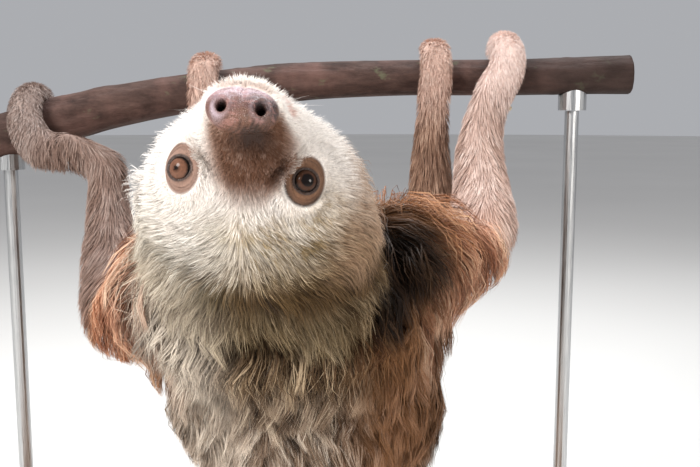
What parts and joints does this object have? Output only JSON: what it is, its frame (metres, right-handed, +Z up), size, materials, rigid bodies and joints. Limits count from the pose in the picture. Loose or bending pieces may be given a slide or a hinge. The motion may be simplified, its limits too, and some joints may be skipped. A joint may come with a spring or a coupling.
{
  "type": "two-toed sloth",
  "caption": "Life-size long-haired sloth hanging back down from a cut branch, head thrown back with its face upside down, on a display stand.",
  "frame": {"origin": "centre of the underside of the stand's base", "axes": "+Z up; +X along the branch to the animal's right side; -Y is where its face looks and +Y is where its hands and feet hold the branch"},
  "size_m": [0.62, 0.474, 0.491],
  "materials": {
    "pale_coat": "short cream to grey-tan fur",
    "brown_coat": "long coarse fur, grey-brown and tan in locks, dark between them",
    "bare_skin": "bare moist nose, pinkish brown and grey",
    "eye": "wet brown eye",
    "claw": "smooth horn",
    "bark": "thin brown bark with pale cut ends",
    "board": "satin varnished board",
    "steel": "brushed"
  },
  "bodies": {
    "root": {"head": "pale_coat", "jaw": "pale_coat", "nose": "bare_skin", "eye_left": "eye", "eye_right": "eye", "ear_left": "brown_coat", "ear_right": "brown_coat", "neck": "brown_coat", "chest": "brown_coat", "loin": "brown_coat", "rump": "brown_coat", "upper_arm_left": "brown_coat", "upper_arm_right": "brown_coat", "forearm_left": "brown_coat", "forearm_right": "brown_coat", "hand_left": "pale_coat", "hand_right": "pale_coat", "hand_left_claw_1": "claw", "hand_left_claw_2": "claw", "hand_right_claw_1": "claw", "hand_right_claw_2": "claw", "thigh_left": "brown_coat", "thigh_right": "brown_coat", "shank_left": "brown_coat", "shank_right": "brown_coat", "foot_left": "pale_coat", "foot_right": "pale_coat", "foot_left_claw_1": "claw", "foot_left_claw_2": "claw", "foot_left_claw_3": "claw", "foot_right_claw_1": "claw", "foot_right_claw_2": "claw", "foot_right_claw_3": "claw", "branch": "bark", "stand_base": "board", "stand_collar_left": "steel", "stand_collar_right": "steel", "stand_rod_left": "steel", "stand_rod_right": "steel", "stand_saddle_left": "steel", "stand_saddle_right": "steel"}
  },
  "joints": []
}
